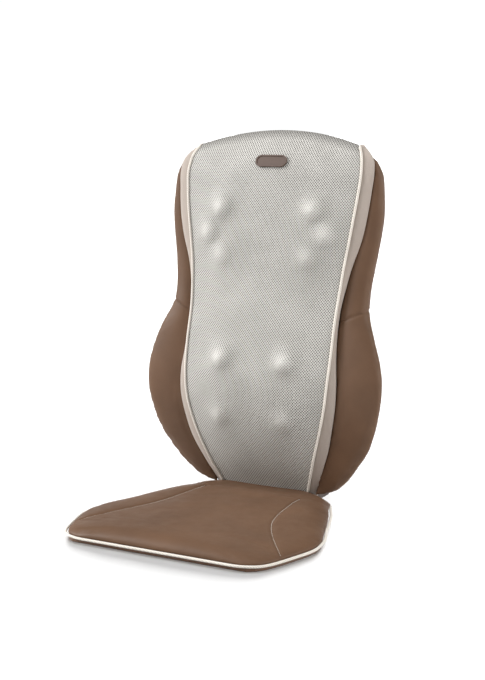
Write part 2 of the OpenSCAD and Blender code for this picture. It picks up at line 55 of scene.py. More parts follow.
# ------------------------------------------------------------------ shared shape
# Outline stations of the backrest, each (height, value); HW stands for half width. They are the design's own,
# except that the tops of the wings reach a few millimetres further out.
PANEL_HW = [(0, .078), (.025, .084), (.065, .098), (.105, .111), (.145, .123), (.185, .132), (.225, .136),
            (.265, .138), (.345, .139), (.385, .142), (.425, .146), (.465, .152), (.505, .158),
            (.545, .163), (.585, .165), (.610, .160), (.625, .152)]
TRIM_HW = [(0, .092), (.025, .102), (.065, .117), (.105, .133), (.145, .143), (.185, .150), (.225, .151),
           (.265, .147), (.305, .144), (.345, .144), (.385, .149), (.425, .156), (.465, .167),
           (.505, .176), (.545, .183), (.585, .186), (.600, .183), (.612, .174), (.625, .158)]
FACE_Y = [(0, .143), (.025, .134), (.065, .116), (.105, .103), (.145, .095), (.185, .091), (.225, .093),
          (.265, .101), (.305, .111), (.345, .122), (.385, .131), (.425, .138), (.465, .143),
          (.505, .147), (.545, .153), (.585, .161), (.610, .172), (.625, .183), (.649, .199)]
CROWN = [(0, .001), (.065, .009), (.145, .015), (.265, .016), (.385, .015), (.505, .013), (.585, .009),
         (.625, .005), (.649, .002)]
WING_HW = [(.018, .106), (.022, .122), (.030, .141), (.045, .159), (.065, .176), (.085, .191),
           (.105, .204), (.145, .220), (.185, .229), (.225, .231), (.265, .224), (.305, .209),
           (.345, .192), (.365, .190), (.385, .191), (.425, .196), (.465, .202), (.505, .206),
           (.545, .204), (.585, .198), (.604, .192)]
WING_Y = [(.018, .138), (.030, .136), (.065, .125), (.105, .117), (.145, .112), (.185, .111),
          (.225, .115), (.265, .121), (.305, .130), (.345, .148), (.365, .154), (.385, .157),
          (.425, .163), (.465, .167), (.505, .171), (.545, .173), (.585, .176), (.604, .181)]
# Half width of the rear housing beside the shoulders.
HOUSING_HW = [(.485, .166), (.505, .167), (.545, .163), (.585, .153), (.605, .144), (.617, .126)]
# Half width of the seat pad and of its curved seams along its length, each (y, half width).
SEAT_HW = [(-.238, .150), (-.234, .162), (-.226, .174), (-.212, .184), (-.188, .194), (-.160, .203),
           (-.130, .212), (-.104, .216), (-.080, .213), (-.059, .206), (-.020, .190), (.020, .177),
           (.060, .162), (.100, .143)]
SEAT_SEAM = [(-.199, .204), (-.158, .170), (-.109, .137), (-.068, .117), (-.018, .104), (.020, .099),
             (.060, .095), (.100, .093)]
# Where the massage nodes press the mesh at rest, each (x, height, strength), and how far and how wide.
BUMPS = [(.062, .260, 1.0), (.064, .156, .5), (.089, .518, .9), (.115, .474, .8), (.083, .436, .55)]
BUMP_RISE, BUMP_SPREAD = .0120, .0138
# The broad swell of the mesh over each head, each (x, height, spread, rise).
SWELLS = [(.062, .211, .050, .0030), (.088, .477, .045, .0025)]
# The trim's section from the piping to the wing and back, each (share of its width, depth behind the face).
TRIM_SECTION = [(0, .0084), (1, .0084), (1, .0074), (.93, .0058), (.7, .0036), (.4, .0018), (.15, .0014),
                (0, .0024)]

PANEL_FOOT = .014             # lowest edge of the mesh cover
CORNER_Z, CORNER_HW = .625, .152      # its two upper corners
ARCH = .024                   # rise of its top edge between the corners
TRIM_TOP = CORNER_Z + .001
MESH_THICKNESS = .0055
ROLL_HW, ROLL_REAR, ROLL_Z = .136, .233, .6385        # where it ends on the housing, over the top
ROLL_ROWS = 19
SHOULDER_FOOT = .520          # lower edge of the cloth over a shoulder
HOUSING_EDGE_Y = .206         # the housing's front edge at that height
WING_TAPER = (.574, .038)     # where a wing starts to narrow, and over what height it runs out
WING_TUCK = .0020             # how far a wing starts under the trim
WING_ROOM = .0025             # left free at a wing's outside, for its cover to be blown up into
WING_BACK = .030              # depth of a wing behind its rim
SEAM_Z, SEAM_RISE = .329, .020        # waist seam at its inner end, and its rise across the wing
WAIST_HW = .190               # half width at the seam's outer end
PIPING_R = .0022
SEAT_REAR, SEAT_FRONT = .100, -.238
SEAT_TOP = .0287              # crown of the seat pad
SEAT_EDGE_Z = .0110           # top of its rim
SEAT_CORD_Z = .0088           # middle of the piping round it
SEAT_UNDER_Z = .0064          # its underside, on the board
SEAT_SEAM_END = -.205         # where its two seams fade out, at the front
VOXEL = .0045                 # mesh size of the filled covers
CLOTH_FRAMES = 20


def hermite(t, start, leaving, end, arriving):
    """A cubic from start to end, with its slopes at both."""
    return ((2 * t**3 - 3 * t**2 + 1) * start + (t**3 - 2 * t**2 + t) * leaving
            + (3 * t**2 - 2 * t**3) * end + (t**3 - t**2) * arriving)


def smooth(at, table):
    """A smooth curve through a table of stations."""
    at = np.asarray(at, float)
    t = np.array(table, float)
    slope = np.gradient(t[:, 1], t[:, 0])
    i = np.clip(np.searchsorted(t[:, 0], at, side="right") - 1, 0, len(t) - 2)
    h = t[i + 1, 0] - t[i, 0]
    s = np.clip((at - t[i, 0]) / h, 0, 1)
    return hermite(s, t[i, 1], slope[i] * h, t[i + 1, 1], slope[i + 1] * h)


# ------------------------------------------------------------------ camera
CAMERA_AT = (1.0526, -1.923, .6648)
AZIMUTH, ELEVATION = math.radians(28.08), math.radians(9.3)
camera = bpy.data.objects.new("camera", bpy.data.cameras.new("camera"))
scene.collection.objects.link(camera)
camera.data.sensor_width = 36
camera.data.lens = 70.6
camera.location = CAMERA_AT
towards_camera = Vector((math.sin(AZIMUTH) * math.cos(ELEVATION), -math.cos(AZIMUTH) * math.cos(ELEVATION),
                         math.sin(ELEVATION)))
camera.rotation_mode = "QUATERNION"
camera.rotation_quaternion = (-towards_camera).to_track_quat("-Z", "Y")
scene.camera = camera


# ------------------------------------------------------------------ materials
class Shader:
    """A material with a Principled shader, and short calls to build its nodes."""

    def __init__(self, name, colour, roughness, **constants):
        self.material = bpy.data.materials.new(name)
        self.material.use_nodes = True
        self.tree = self.material.node_tree
        self.out = self.tree.nodes["Principled BSDF"]
        self.out.inputs["Base Color"].default_value = (*colour, 1)
        self.out.inputs["Roughness"].default_value = roughness
        for key, value in constants.items():
            self.out.inputs[key.replace("_", " ")].default_value = value
        self.place = self.add("ShaderNodeTexCoord").outputs["Object"]

    def add(self, kind, inputs=None, **settings):
        node = self.tree.nodes.new(kind)
        for key, value in settings.items():
            setattr(node, key, value)
        for key, value in (inputs or {}).items():
            if isinstance(value, bpy.types.NodeSocket):
                self.tree.links.new(value, node.inputs[key])
            else:
                node.inputs[key].default_value = value
        return node

    def math(self, operation, a, b=0.0):
        return self.add("ShaderNodeMath", {0: a, 1: b}, operation=operation).outputs[0]

    def wave(self, along, pitch):
        """A sine wave along a coordinate."""
        return self.math("SINE", self.math("MULTIPLY", along, 2 * math.pi / pitch))

    def scaled(self, scale, turn=(0, 0, 0)):
        inputs = {"Vector": self.place, "Scale": scale, "Rotation": turn}
        return self.add("ShaderNodeMapping", inputs).outputs[0]

    def split(self, vector):
        return self.add("ShaderNodeSeparateXYZ", {0: vector}).outputs

    def noise(self, scale, detail=2.0, vector=None):
        inputs = {"Vector": vector or self.place, "Scale": scale, "Detail": detail}
        return self.add("ShaderNodeTexNoise", inputs).outputs["Fac"]

    def ramp(self, value, low, high, to_low=0.0, to_high=1.0):
        inputs = {"Value": value, "From Min": low, "From Max": high, "To Min": to_low, "To Max": to_high}
        return self.add("ShaderNodeMapRange", inputs).outputs[0]

    def mix(self, share, a, b):
        node = self.add("ShaderNodeMix", data_type="RGBA")
        for socket, value in ((node.inputs[0], share), (node.inputs[6], a), (node.inputs[7], b)):
            if isinstance(value, bpy.types.NodeSocket):
                self.tree.links.new(value, socket)
            else:
                socket.default_value = value if isinstance(value, float) else (*value, 1)
        return node.outputs[2]

    def colour(self, socket):
        self.tree.links.new(socket, self.out.inputs["Base Color"])

    def roughness(self, socket):
        self.tree.links.new(socket, self.out.inputs["Roughness"])

    def bump(self, height, distance, strength=1.0):
        """Adds a bump on top of those already there."""
        inputs = {"Height": height, "Distance": distance, "Strength": strength}
        if self.out.inputs["Normal"].is_linked:
            inputs["Normal"] = self.out.inputs["Normal"].links[0].from_socket
        self.tree.links.new(self.add("ShaderNodeBump", inputs).outputs[0], self.out.inputs["Normal"])


def linear(r, g, b):
    """A colour given in 0 to 255 display values, as linear light."""
    return tuple(((v / 255 + .055) / 1.055)**2.4 if v > 10 else v / 255 / 12.92 for v in (r, g, b))


def spacer_mesh():
    """Light grey mesh: staggered holes that show a dark layer, a painted highlight over each node's bump, and
    painted shade where it turns over the top.
    """
    s = Shader("spacer_mesh", linear(176, 173, 167), .62, Sheen_Weight=.08)
    x, _, z = s.split(s.place)
    pitch = .0046
    hole = s.ramp(s.math("MULTIPLY", s.wave(x, pitch), s.wave(z, pitch * 1.1)), -.05, .5)
    # Painted highlight: the threads and holes turn paler over each node's bump, as strong as that bump.
    painted_bump_highlight = 0.0
    for bump_x, bump_z, strength in BUMPS:
        aside = s.math("SUBTRACT", s.math("ABSOLUTE", x), bump_x)
        above = s.math("SUBTRACT", z, bump_z)
        reach = s.math("ADD", s.math("MULTIPLY", aside, aside), s.math("MULTIPLY", above, above))
        painted_bump_highlight = s.math("MAXIMUM", painted_bump_highlight, s.ramp(s.math("SQRT", reach), .019, .001, 0.0, .7 * strength))
    # Painted shade: darker where it turns over the arched top. level is the height with the arch's fall added
    # back.
    level = s.math("ADD", z, s.math("MULTIPLY", s.math("MULTIPLY", x, x), ARCH / CORNER_HW**2))
    painted_shade_on_roll = s.ramp(level, CORNER_Z + ARCH - .015, CORNER_Z + ARCH)
    patch = s.noise(16, 3)
    thread = s.mix(s.ramp(patch, .3, .7), linear(208, 205, 199), linear(194, 191, 185))
    thread = s.mix(painted_shade_on_roll, thread, linear(142, 139, 134))
    # Painted highlight over the bumps, on the threads and in the holes.
    thread = s.mix(painted_bump_highlight, thread, linear(228, 226, 221))
    behind = s.mix(painted_bump_highlight, linear(70, 68, 64), linear(196, 192, 186))
    s.colour(s.mix(hole, thread, behind))
    s.bump(s.math("SUBTRACT", 1.0, hole), .0006, .6)
    s.bump(s.noise(900, 1), .0002, .3)
    return s.material


def shaded(colour, share):
    return tuple(v * share for v in colour)


def brown_cover():
    """Smooth brown cover cloth with a fine grain, faint mottling and a soft sheen."""
    base = linear(100, 74, 55)
    s = Shader("brown_cover", base, .52, Sheen_Weight=.06, Sheen_Roughness=.4, Specular_IOR_Level=.25)
    s.out.inputs["Sheen Tint"].default_value = (*linear(220, 190, 165), 1)
    s.colour(s.mix(s.ramp(s.noise(14, 4), .3, .7), shaded(base, .86), shaded(base, 1.1)))
    s.roughness(s.ramp(s.noise(40, 3), .3, .7, .46, .60))
    cells = s.add("ShaderNodeTexVoronoi", {"Vector": s.place, "Scale": 1100.0}).outputs["Distance"]
    s.bump(cells, .00012, .5)
    s.bump(s.noise(55, 4), .0011, .35)
    return s.material


def trim_cloth():
    """Beige trim with a fine twill."""
    s = Shader("trim_cloth", linear(176, 163, 152), .7, Sheen_Weight=.15)
    x, _, z = s.split(s.scaled((1, 1, 1), (0, math.radians(30), 0)))
    weave = s.math("MULTIPLY", s.wave(s.math("ADD", x, z), .0014), s.wave(z, .0011))
    s.colour(s.mix(s.ramp(weave, -.6, .6), linear(170, 156, 145), linear(186, 174, 164)))
    s.bump(weave, .00025, .6)
    s.bump(s.noise(60, 3), .0006, .3)
    return s.material


def piping_cord(name):
    """Cream cloth wrapped round a cord; the wrap's rows cross it at a slant."""
    s = Shader(name, linear(226, 219, 209), .6, Sheen_Weight=.15)
    x, y, z = s.split(s.place)
    slant = s.math("ADD", s.math("MULTIPLY", x, 900.0), s.math("MULTIPLY", s.math("ADD", y, z), 1500.0))
    rows = s.math("SINE", slant)
    s.colour(s.mix(s.ramp(rows, -1, 1), linear(214, 206, 194), linear(232, 226, 217)))
    s.bump(rows, .00022, .7)
    return s.material


def moulded(name, base, rough=.5, grain=.00012, scale=700.0):
    """Moulded plastic with spark-eroded grain, slightly worn smooth in places."""
    base = linear(*base)
    s = Shader(name, base, rough)
    worn = s.ramp(s.noise(9, 4), .35, .7)
    s.colour(s.mix(worn, base, shaded(base, 1.15)))
    s.roughness(s.ramp(worn, 0, 1, rough + .08, rough - .06))
    s.bump(s.noise(scale, 2), grain, .7)
    return s.material


def metal(name, base, rough, brushed=(1, 1, 1)):
    """Metal with fine drawn lines along the axis where brushed is small."""
    base = linear(*base)
    s = Shader(name, base, rough, Metallic=1.0)
    lines = s.noise(900, 3, s.scaled(brushed))
    s.colour(s.mix(s.ramp(lines, .3, .7), shaded(base, .82), base))
    s.roughness(s.ramp(lines, .3, .7, rough - .06, rough + .1))
    s.bump(lines, .00005, .5)
    return s.material


def open_foam():
    """Cream foam with open cells."""
    s = Shader("open_foam", linear(222, 217, 202), .9)
    cells = s.add("ShaderNodeTexVoronoi", {"Vector": s.place, "Scale": 420.0}).outputs["Distance"]
    s.colour(s.mix(s.ramp(cells, 0, .8), linear(176, 168, 148), linear(230, 226, 212)))
    s.bump(cells, .0008, .8)
    return s.material


def webbing():
    """Elastic webbing: ribs along the strap, crossed by a fine weft."""
    s = Shader("webbing", linear(72, 58, 48), .7, Sheen_Weight=.3)
    x, _, z = s.split(s.place)
    weave = s.math("MULTIPLY", s.wave(z, .0024), s.wave(x, .0013))
    s.colour(s.mix(s.ramp(weave, -.7, .7), linear(54, 43, 35), linear(92, 76, 64)))
    s.bump(weave, .0004, .8)
    return s.material


def underside_cloth():
    """Coarse dark cloth with rubber grip dots, and a brown border up the sides."""
    s = Shader("underside_cloth", linear(66, 52, 43), .85, Sheen_Weight=.2)
    x, y, z = s.split(s.place)
    dots = s.math("MULTIPLY", s.wave(x, .009), s.wave(y, .009))
    weave = s.noise(800, 2)
    cloth = s.mix(s.ramp(weave, .3, .7), linear(52, 40, 33), linear(80, 64, 53))
    grip = s.mix(s.ramp(dots, .55, .7), cloth, linear(30, 25, 22))
    s.colour(s.mix(s.ramp(z, .0004, .0010), grip, linear(112, 84, 66)))
    s.bump(s.ramp(dots, .5, .8), .0006, .8)
    s.bump(weave, .0003, .5)
    return s.material


def circuit_board():
    """Green board with rows of tracks."""
    s = Shader("circuit_board", linear(24, 88, 48), .35)
    lines = s.add("ShaderNodeTexBrick", {"Vector": s.scaled((60, 60, 60), (math.pi / 2, 0, 0)), "Scale": 4.0})
    s.colour(s.mix(lines.outputs["Fac"], linear(24, 88, 48), linear(38, 120, 66)))
    s.bump(lines.outputs["Fac"], .0001, .5)
    return s.material


MESH, BROWN, TRIM = spacer_mesh(), brown_cover(), trim_cloth()
CREAM, THREAD = piping_cord("piping_cord"), piping_cord("seam_thread")
NODE_FINISH = {
    "foam_liner": open_foam(), "seat_base": underside_cloth(),
    "rear_housing": moulded("shell_plastic", (68, 54, 45), .5, .00025, 420.0),
    "front_frame": moulded("frame_plastic", (66, 53, 45)),
    "badge": moulded("badge_plastic", (78, 58, 47), .5, .00008),
    "steel": metal("ground_steel", (196, 197, 200), .26, (1, 1, .03)),
    "zinc": metal("zinc_plate", (168, 170, 174), .38),
    "bronze": metal("sintered_bronze", (186, 146, 92), .42),
    "acetal": moulded("natural_acetal", (236, 232, 220), .38, .00006),
    "cap": moulded("node_cap", (222, 186, 170), .42, .0001),
    "black": moulded("black_plastic", (30, 30, 31), .42, .0001),
    "can": metal("motor_can", (170, 172, 176), .3, (.05, 1, 1)),
    "board": circuit_board(), "webbing": webbing(),
}
# The ends of the names of the design's nodes that show each finish.
FINISH_OF = {
    "steel": ["guide_rail", "worm_shaft", "hinge_rod"], "zinc": ["rail_bracket", "screws"],
    "bronze": ["rail_bushes"], "acetal": ["worm_wheel", "rotor", "pinion", "rack"], "cap": ["nodes"],
    "black": ["buckles", "power_inlet", "carriage_frame", "hinge_brackets"], "can": ["motor"],
    "board": ["control_board"], "webbing": ["strap"], "front_frame": ["front_frame"],
    "rear_housing": ["rear_housing"], "badge": ["badge"], "seat_base": ["seat_base", "hinge_sleeves"],
    "foam_liner": ["foam"],
}
for name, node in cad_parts.items():
    for finish, endings in FINISH_OF.items():
        if any(name.endswith(e) for e in endings):
            node.data.materials.clear()
            node.data.materials.append(NODE_FINISH[finish])


# ------------------------------------------------------------------ mesh helpers
def piece(name, points, faces, material):
    """A smooth-shaded object of one material, its faces turned outwards."""
    mesh = bpy.data.meshes.new(name)
    mesh.from_pydata([tuple(p) for p in points], [], [tuple(f) for f in faces])
    mesh.validate()
    mesh.polygons.foreach_set("use_smooth", [True] * len(mesh.polygons))
    mesh.materials.append(material)
    obj = bpy.data.objects.new(name, mesh)
    scene.collection.objects.link(obj)
    bm = bmesh.new()
    bm.from_mesh(mesh)
    bmesh.ops.recalc_face_normals(bm, faces=bm.faces)
    bm.to_mesh(mesh)
    bm.free()
    return obj


def grid_faces(rows, columns, around=False, start=0):
    """The faces of a grid of points; around closes each row into a ring."""
    faces = []
    for i in range(rows - 1):
        for j in range(columns if around else columns - 1):
            k = (j + 1) % columns
            faces.append((start + i * columns + j, start + i * columns + k,
                          start + (i + 1) * columns + k, start + (i + 1) * columns + j))
    return faces


def lofted(name, rings, material):
    """A closed solid through rings of points, with its two ends capped."""
    rings = np.array(rings)
    rows, columns = rings.shape[:2]
    faces = grid_faces(rows, columns, around=True)
    faces += [tuple(range(columns)), tuple(range((rows - 1) * columns, rows * columns))]
    return piece(name, rings.reshape(-1, 3), faces, material)


def slab(name, front, back, material):
    """A closed sheet between two grids of the same size."""
    rows, columns = front.shape[:2]
    count = rows * columns
    faces = grid_faces(rows, columns) + grid_faces(rows, columns, start=count)
    rim = ([(0, j) for j in range(columns)] + [(i, columns - 1) for i in range(1, rows)]
           + [(rows - 1, j) for j in range(columns - 2, -1, -1)] + [(i, 0) for i in range(rows - 2, 0, -1)])
    rim = [i * columns + j for i, j in rim]
    for a, b in zip(rim, rim[1:] + rim[:1]):
        faces.append((a, b, b + count, a + count))
    return piece(name, np.concatenate([front.reshape(-1, 3), back.reshape(-1, 3)]), faces, material)


def tube(name, path, radius, material, sides=12):
    """A round cord along a path, its ends drawn in."""
    path = np.array(path, float)
    along = np.gradient(path, axis=0)
    along /= np.linalg.norm(along, axis=1)[:, None]
    # A direction that the path never runs along: upwards for a level cord, backwards for a standing one.
    aside = (0.0, .25, 1.0) if np.ptp(path[:, 2]) < .05 else (0.0, 1.0, .3)
    side = np.cross(along, aside)
    side /= np.linalg.norm(side, axis=1)[:, None]
    up = np.cross(along, side)
    angle = np.arange(sides) * 2 * math.pi / sides
    radii = np.full(len(path), radius)
    radii[[0, -1]] = radius * .35
    ring = np.cos(angle)[None, :, None] * side[:, None] + np.sin(angle)[None, :, None] * up[:, None]
    return lofted(name, path[:, None] + radii[:, None, None] * ring, material)


def joined(name, objects):
    """Several pieces as one object."""
    for obj in bpy.context.selected_objects:
        obj.select_set(False)
    for obj in objects:
        obj.select_set(True)
    bpy.context.view_layer.objects.active = objects[0]
    bpy.ops.object.join()
    objects[0].name = name
    return objects[0]


def stitches(name, path, normal, length=.0032, pitch=.0046, radius=.00032):
    """A row of short thread stitches lying on a seam."""
    path = np.array(path, float)
    steps = np.concatenate([[0], np.cumsum(np.linalg.norm(np.diff(path, axis=0), axis=1))])
    threads = []
    for start in np.arange(pitch / 2, steps[-1] - length, pitch):
        at = np.linspace(start, start + length, 5)
        line = np.stack([np.interp(at, steps, path[:, k]) for k in range(3)], axis=1)
        lift = np.sin(np.linspace(0, math.pi, 5))[:, None] * radius * 1.6
        threads.append(tube("thread", line + lift * np.array(normal), radius, THREAD, sides=6))
    return joined(name, threads)


def smoothed(obj):
    """Adds and applies subdivision."""
    obj.modifiers.new("round", "SUBSURF").levels = 1
    apply_modifiers(obj)


def apply_modifiers(obj):
    evaluated = obj.evaluated_get(bpy.context.evaluated_depsgraph_get())
    mesh = bpy.data.meshes.new_from_object(evaluated)
    materials = list(obj.data.materials)
    obj.modifiers.clear()
    obj.data = mesh
    obj.data.materials.clear()
    for material in materials:
        obj.data.materials.append(material)
    mesh.polygons.foreach_set("use_smooth", [True] * len(mesh.polygons))


def remeshed(obj):
    modifier = obj.modifiers.new("remesh", "REMESH")
    modifier.mode = "VOXEL"
    modifier.voxel_size = VOXEL
    apply_modifiers(obj)


def points_of(obj):
    co = np.empty(len(obj.data.vertices) * 3)
    obj.data.vertices.foreach_get("co", co)
    return co.reshape(-1, 3)


def set_points(obj, co):
    obj.data.vertices.foreach_set("co", co.reshape(-1))
    obj.data.update()


def inflate(obj, held, pressure, cap):
    """Blows a cover up like a filled cushion, by at most cap. held says how firmly each point is sewn."""
    rest = points_of(obj)
    group = obj.vertex_groups.new(name="sewn")
    for index, weight in enumerate(held(rest)):
        group.add([index], float(weight), "REPLACE")
    cloth = obj.modifiers.new("fill", "CLOTH")
    settings = cloth.settings
    settings.quality = 5
    settings.mass = .3
    settings.tension_stiffness = settings.compression_stiffness = 12
    settings.shear_stiffness = 6
    settings.bending_stiffness = .4
    settings.use_pressure = True
    settings.uniform_pressure_force = pressure
    settings.effector_weights.gravity = 0
    settings.vertex_group_mass = "sewn"
    cloth.collision_settings.use_collision = False
    for number in range(1, CLOTH_FRAMES + 1):
        scene.frame_set(number)
    evaluated = obj.evaluated_get(bpy.context.evaluated_depsgraph_get())
    moved = np.array([v.co for v in evaluated.data.vertices])
    obj.modifiers.clear()
    scene.frame_set(1)
    step = moved - rest
    length = np.maximum(np.linalg.norm(step, axis=1), 1e-9)
    set_points(obj, rest + step * (np.minimum(length, cap) / length)[:, None])


# ------------------------------------------------------------------ mesh panel
def bump_field(x, z):
    """How far the massage nodes push the mesh out."""
    field = np.zeros(np.broadcast(x, z).shape)
    for bx, bz, strength in BUMPS:
        reach = ((np.abs(x) - bx)**2 + (z - bz)**2) / (2 * BUMP_SPREAD**2)
        field = np.maximum(field, BUMP_RISE * strength * np.exp(-reach))
    for hx, hz, spread, rise in SWELLS:
        field = field + rise * np.exp(-((np.abs(x) - hx)**2 + (z - hz)**2) / (2 * spread**2))
    return field


def panel_face(columns=110, rows=190):
    """The mesh cover's outside, from its foot up and over the top."""
    u = np.linspace(-1, 1, columns)[None, :]
    v = np.linspace(0, 1, rows)[:, None]
    edge_z = PANEL_FOOT + v * (CORNER_Z - PANEL_FOOT)
    z = edge_z + v**4 * ARCH * (1 - u**2)
    x = u * smooth(edge_z, PANEL_HW)
    y = smooth(z, FACE_Y) - smooth(z, CROWN) * (1 - u**2) - bump_field(x, z) * (1 - u**8)
    face = np.stack([x, y, z], axis=-1)
    return np.concatenate([face, roll_over_top(u[0], face[-2], face[-1])])


def roll_over_top(u, below, start):
    """Rows that carry the mesh from the top of its face back and down on to the housing."""
    climb = start - below
    climb *= .019 / np.linalg.norm(climb, axis=1)[:, None]
    end = np.stack([u * ROLL_HW, ROLL_REAR + 0 * u, ROLL_Z - .026 * np.abs(u)**2.5], axis=-1)
    drop = np.stack([0 * u, .008 + 0 * u, -.012 + 0 * u], axis=-1)
    return np.array([hermite(t, start, climb, end, drop) for t in np.linspace(0, 1, ROLL_ROWS)[1:]])


def mesh_panel():
    """The mesh cover. Returns its left edge from the upper corner to the rear, a little inside."""
    face = panel_face()
    normal = np.cross(np.gradient(face, axis=0), np.gradient(face, axis=1))
    normal /= np.linalg.norm(normal, axis=-1)[..., None]
    rows, columns = face.shape[:2]
    normal *= np.sign(normal[rows // 2, columns // 2, 1])
    panel = slab("mesh_cover", face, face + MESH_THICKNESS * normal, MESH)
    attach(panel, "backrest")
    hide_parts("mesh_panel", "foam_liner")
    return face[-ROLL_ROWS:, -1] - np.array([.001, 0, .0028])


# ------------------------------------------------------------------ trim and piping of the backrest
def panel_trim(side, word):
    """The beige band beside the mesh, wider where it lies over the shoulder wing."""
    z = np.linspace(PANEL_FOOT, TRIM_TOP, 130)
    inner = smooth(z, PANEL_HW) + .0004
    over_wing = .0010 + .0055 * np.exp(-((z - .470) / .07)**2)
    outer = np.maximum(smooth(z, TRIM_HW) + over_wing, inner + .0030)
    face = smooth(z, FACE_Y)
    edges = [np.stack([side * (inner + share * (outer - inner)), face + depth, z], axis=-1)
             for share, depth in TRIM_SECTION]
    band = lofted(f"{word}_trim", np.array(edges).transpose(1, 0, 2), TRIM)
    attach(band, "backrest")
    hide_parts(f"{word}_trim_band")


def panel_piping(side, word):
    z = np.linspace(PANEL_FOOT, TRIM_TOP, 150)
    line = np.stack([side * (smooth(z, PANEL_HW) + PIPING_R), smooth(z, FACE_Y) - .0006, z], axis=-1)
    cord = tube(f"{word}_edge_piping", line, PIPING_R, CREAM)
    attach(cord, "backrest")
    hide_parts(f"{word}_panel_piping")


def shoulder_cover(side, word, roll_edge):
    """Brown cloth that closes the shoulder: a patch whose edges lie on the trim (ahead), the housing (behind)
    and the mesh roll (over), with a free edge under them, behind the wing."""
    rows, columns = 26, 24
    s = np.linspace(0, 1, rows)[:, None, None]
    t = np.linspace(0, 1, columns)[None, :, None]
    z = np.linspace(SHOULDER_FOOT, CORNER_Z - .0005, rows)
    ahead = np.stack([smooth(z, TRIM_HW) - .0002, smooth(z, FACE_Y) + .0072, z], axis=-1)
    z = np.linspace(SHOULDER_FOOT, roll_edge[-1, 2], rows)
    y = np.linspace(HOUSING_EDGE_Y, roll_edge[-1, 1], rows)
    behind = np.stack([smooth(z, HOUSING_HW) + .0006, y, z], axis=-1)
    steps = np.linspace(0, 1, ROLL_ROWS)
    over = np.stack([np.interp(t[0, :, 0], steps, roll_edge[:, k]) for k in range(3)], axis=-1)
    over = over + (1 - t[0])**3 * (ahead[-1] - over[0])
    under = ahead[0] + t[0] * (behind[0] - ahead[0])
    under[:, 0] = behind[0, 0] + (ahead[0, 0] - behind[0, 0]) * (1 - t[0, :, 0]**2.6)
    corners = (1 - s) * ((1 - t) * ahead[0] + t * behind[0]) + s * ((1 - t) * ahead[-1] + t * behind[-1])
    patch = ((1 - s) * under[None] + s * over[None] + (1 - t) * ahead[:, None] + t * behind[:, None]
             - corners)
    patch[..., 0] += .0062 * np.sin(math.pi * s[..., 0]) * np.sin(math.pi * t[..., 0]**.7)
    patch[..., 0] *= side
    cover = slab(f"{word}_shoulder_cover", patch, patch - np.array([side * .0012, 0, .0004]), BROWN)
    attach(cover, "backrest")


# ------------------------------------------------------------------ wings
def wing_ring(z, side):
    """One ring of a wing pad, from its inner seam round the rim and back, tilted near the waist seam."""
    rise = SEAM_RISE * max(0, 1 - abs(z - SEAM_Z) / .140)
    inner = smooth(z, TRIM_HW) - WING_TUCK
    outer = smooth(z + rise, WING_HW) - WING_ROOM
    narrow = (1 - np.clip((z - WING_TAPER[0]) / WING_TAPER[1], 0, 1))**.6
    outer = inner + (outer - inner) * narrow
    rim = smooth(z + rise, WING_Y) - .006 * (1 - narrow)
    front = max(rim - smooth(z, FACE_Y) - .0055, .006) - WING_ROOM
    rear = (WING_BACK - .022 * np.clip((.060 - z) / .040, 0, 1) - WING_ROOM) * narrow
    t = np.radians(np.linspace(0, 90, 17))
    share = np.sin(t)**.85
    valley = 1 - .20 * np.exp(-(share / .26)**2)
    y = rim - front * valley * np.cos(t)**.7
    fore = np.stack([inner + (outer - inner) * share, y, z + rise * share], axis=-1)
    t = t[::-1][1:-1]
    share = np.sin(t)**.8
    aft = np.stack([inner + (outer - inner) * share, rim + rear * np.cos(t)**.8, z + rise * share], axis=-1)
    tail = np.array([[inner, rim + rear, z]])
    ring = np.concatenate([fore, aft, tail])
    ring[:, 0] *= side
    return ring


def seam_height(x):
    """Height of the waist seam at a place across the wing."""
    inner = float(smooth(SEAM_Z, TRIM_HW))
    return SEAM_Z + SEAM_RISE * np.clip((np.abs(x) - inner) / (WAIST_HW - inner), 0, 1)


def sewn_wing(co):
    """A wing is sewn down along the trim and at its waist seam."""
    to_inner = np.abs(np.abs(co[:, 0]) - smooth(co[:, 2], TRIM_HW))
    to_seam = np.abs(co[:, 2] - seam_height(co[:, 0]))
    held = np.clip(1 - (to_inner - .004) / .010, 0, 1)
    return np.maximum(held, np.clip(1 - (to_seam - .002) / .004, 0, 1))


def wing(side, word):
    """A shoulder and lumbar wing in one filled cover, with the groove of its waist seam."""
    heights = np.concatenate([np.linspace(.018, .034, 5), np.linspace(.040, .600, 88), [.604, .607, .610]])
    pad = lofted(f"{word}_wing", [wing_ring(z, side) for z in heights], BROWN)
    remeshed(pad)
    inflate(pad, sewn_wing, pressure=4.0, cap=.006)
    smoothed(pad)
    co = points_of(pad)
    distance = co[:, 2] - seam_height(co[:, 0])
    fore = co[:, 1] < smooth(co[:, 2], WING_Y) + .020
    groove = .0017 * np.exp(-(distance / .0028)**2) * fore
    normals = np.empty(len(co) * 3)
    pad.data.vertices.foreach_get("normal", normals)
    set_points(pad, co - normals.reshape(-1, 3) * groove[:, None])
    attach(pad, "backrest")
    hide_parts(f"{word}_shoulder_wing", f"{word}_lumbar_wing")
    return pad


